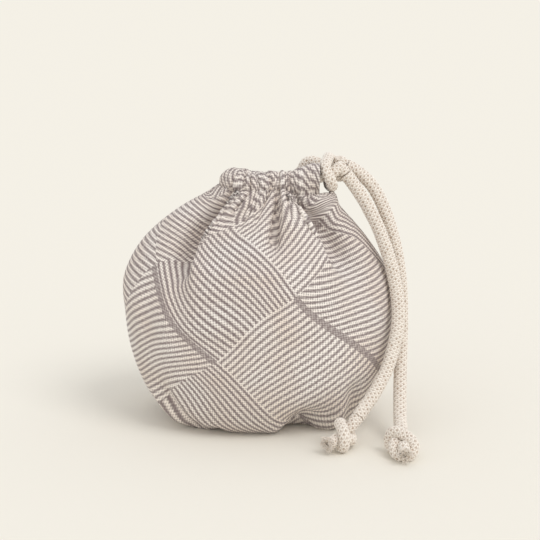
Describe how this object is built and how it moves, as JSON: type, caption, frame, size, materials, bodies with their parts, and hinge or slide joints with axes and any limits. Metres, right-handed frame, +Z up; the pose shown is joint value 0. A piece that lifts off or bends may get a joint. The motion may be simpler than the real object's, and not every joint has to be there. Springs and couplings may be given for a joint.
{
  "type": "drawstring gift pouch",
  "caption": "Small plump woven cotton pouch whose gathered hem holds a knitted cord, knotted at one side with two hanging tails.",
  "frame": {"origin": "middle of the filled pouch's footprint, on the surface that it stands on", "axes": "+X from the middle towards the side where the cord leaves the mouth, +Y from the front panel to the back panel, +Z up"},
  "size_m": [0.1244, 0.1059, 0.1168],
  "materials": {
    "woven_cotton": "two-colour woven cotton with cream stripes on mauve grey, matt",
    "knitted_cotton_cord": "undyed knitted cotton, matt and slightly fuzzy"
  },
  "bodies": {
    "pouch": {"front_panel": "woven_cotton", "back_panel": "woven_cotton", "drawstring_loop": "knitted_cotton_cord"},
    "drawstring": {"front_strand": "knitted_cotton_cord", "back_strand": "knitted_cotton_cord", "upper_tail": "knitted_cotton_cord", "lower_tail": "knitted_cotton_cord", "upper_stopper_knot": "knitted_cotton_cord", "lower_stopper_knot": "knitted_cotton_cord"}
  },
  "joints": [
    {"name": "drawstring_pull", "type": "slide", "parent": "pouch", "child": "drawstring", "axis": [1, 0, 0], "range_m": [0, 0.012]}
  ]
}
